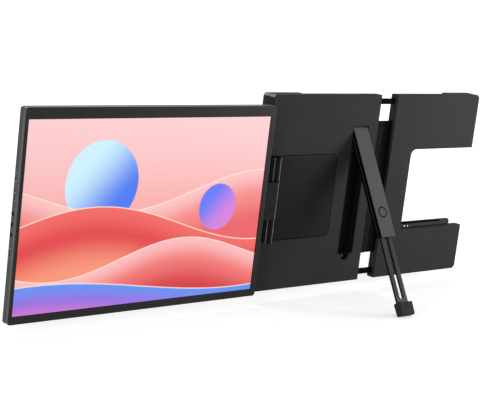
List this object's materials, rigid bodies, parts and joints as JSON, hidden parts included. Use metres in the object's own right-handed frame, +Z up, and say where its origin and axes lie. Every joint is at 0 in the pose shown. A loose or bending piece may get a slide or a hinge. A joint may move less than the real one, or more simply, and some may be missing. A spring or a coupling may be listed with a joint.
{
  "type": "laptop screen extender",
  "caption": "Fold-out second monitor on a hinged back panel that clamps over a laptop lid, with a spring-drawn sliding clamp and a telescopic kickstand.",
  "frame": {"origin": "middle of the main panel's central lid pad, on the face that lies against the laptop's lid", "axes": "+X to the right as seen from behind the lid, from the monitor towards the clamp panel; +Y out of the pad towards the lid and its user; +Z up along the lid"},
  "size_m": [0.7522, 0.1438, 0.2628],
  "materials": {
    "shell_plastic": "fine matte texture, black",
    "plate_plastic": "matte, dark grey",
    "pad_rubber": "soft matte",
    "foot_rubber": "moulded matte",
    "hinge_metal": "satin black paint",
    "stand_metal": "satin dark grey paint",
    "button_plastic": "matte",
    "key_plastic": "polished black",
    "slide_metal": "satin dark grey paint",
    "guide_plastic": "smooth, low friction",
    "screw_steel": "dark plated",
    "pin_steel": "ground",
    "spring_steel": "drawn wire",
    "washer_plastic": "self-lubricating",
    "magnet_metal": "nickel plated",
    "bush_brass": "turned",
    "bezel_plastic": "satin black",
    "monitor_plastic": "matte black",
    "display_glass": null,
    "sheet_metal": "stamped sheet",
    "board_resin": "green circuit board",
    "socket_steel": "nickel plated shell",
    "switch_plastic": "moulded"
  },
  "bodies": {
    "main_panel": {"main_rear_cover": "shell_plastic", "main_base_plate": "plate_plastic", "main_base_screws": "screw_steel", "main_lid_pads": "pad_rubber", "upper_left_hook": "shell_plastic", "lower_left_hook": "shell_plastic", "left_hook_screws": "screw_steel", "left_jaw_pads": "pad_rubber", "hinge_leaf": "hinge_metal", "hinge_leaf_screws": "screw_steel", "hinge_pins": "pin_steel", "hinge_washers": "washer_plastic", "kickstand_pin": "pin_steel", "kickstand_washers": "washer_plastic", "stow_magnet": "magnet_metal", "slide_plate": "slide_metal", "slide_plate_screws": "screw_steel", "rail_guides": "guide_plastic", "clamp_springs": "spring_steel", "spring_posts": "pin_steel"},
    "clamp_panel": {"clamp_rear_cover": "shell_plastic", "clamp_base_plate": "plate_plastic", "clamp_base_screws": "screw_steel", "clamp_lid_pads": "pad_rubber", "upper_rail": "slide_metal", "lower_rail": "slide_metal", "rail_screws": "screw_steel", "upper_right_hook": "shell_plastic", "lower_right_hook": "shell_plastic", "right_hook_screws": "screw_steel", "right_jaw_pads": "pad_rubber"},
    "kickstand": {"kickstand_arm": "stand_metal", "arm_back_cover": "stand_metal", "arm_screws": "screw_steel", "leg_guide_pin": "pin_steel", "latch_pin": "pin_steel", "latch_spring": "spring_steel"},
    "leg": {"telescopic_leg": "stand_metal", "rubber_foot": "foot_rubber"},
    "leg_release": {"release_button": "button_plastic"},
    "leg_latch": {"latch_lever": "pin_steel"},
    "knuckle": {"hinge_knuckle": "hinge_metal", "swivel_bush": "bush_brass"},
    "monitor": {"screen_bezel": "bezel_plastic", "screen_rear_cover": "monitor_plastic", "cover_screws": "screw_steel", "display_panel": "display_glass", "backlight_plate": "sheet_metal", "driver_board": "board_resin", "usb_c_socket_upper": "socket_steel", "usb_c_socket_lower": "socket_steel", "mini_hdmi_socket": "socket_steel", "button_switches": "switch_plastic", "swivel_bracket": "sheet_metal", "bracket_screws": "screw_steel", "swivel_bolt": "pin_steel"},
    "power_key": {"power_button": "key_plastic"},
    "up_key": {"up_button": "key_plastic"},
    "down_key": {"down_button": "key_plastic"}
  },
  "joints": [
    {"name": "clamp_slide", "type": "slide", "parent": "main_panel", "child": "clamp_panel", "axis": [1, 0, 0], "range_m": [-0.02, 0.018], "stiffness_N_per_m": 150, "springref_m": -0.06, "deforming": ["clamp_springs"]},
    {"name": "screen_swing", "type": "hinge", "parent": "main_panel", "child": "knuckle", "pos_m": [-0.0851, -0.0191, -0.0057], "axis": [0, 0, 1], "range_deg": [0, 125]},
    {"name": "screen_flip", "type": "hinge", "parent": "knuckle", "child": "monitor", "pos_m": [-0.1009, -0.0191, -0.0057], "axis": [1, 0, 0], "range_deg": [0, 180]},
    {"name": "stand_fold", "type": "hinge", "parent": "main_panel", "child": "kickstand", "pos_m": [0.064, -0.0078, 0.0775], "axis": [1, 0, 0], "range_deg": [-10, 27]},
    {"name": "leg_slide", "type": "slide", "parent": "kickstand", "child": "leg", "axis": [0, -0.5, -0.866], "range_m": [-0.0841, 0]},
    {"name": "release_press", "type": "slide", "parent": "kickstand", "child": "leg_release", "axis": [0, 0.866, -0.5], "range_m": [0, 0.0008], "stiffness_N_per_m": 1500, "springref_m": -0.0005},
    {"name": "latch_tilt", "type": "hinge", "parent": "kickstand", "child": "leg_latch", "pos_m": [0.064, -0.0701, -0.0274], "axis": [1, 0, 0], "range_deg": [-4.7, 0.1]},
    {"name": "power_press", "type": "slide", "parent": "monitor", "child": "power_key", "axis": [1, 0, 0], "range_m": [0, 0.0005], "stiffness_N_per_m": 2000, "springref_m": -0.0003},
    {"name": "up_press", "type": "slide", "parent": "monitor", "child": "up_key", "axis": [1, 0, 0], "range_m": [0, 0.0005], "stiffness_N_per_m": 2000, "springref_m": -0.0003},
    {"name": "down_press", "type": "slide", "parent": "monitor", "child": "down_key", "axis": [1, 0, 0], "range_m": [0, 0.0005], "stiffness_N_per_m": 2000, "springref_m": -0.0003}
  ],
  "couplings": [
    {"joint": "latch_tilt", "follows": "release_press", "rad_per_m": -100}
  ]
}
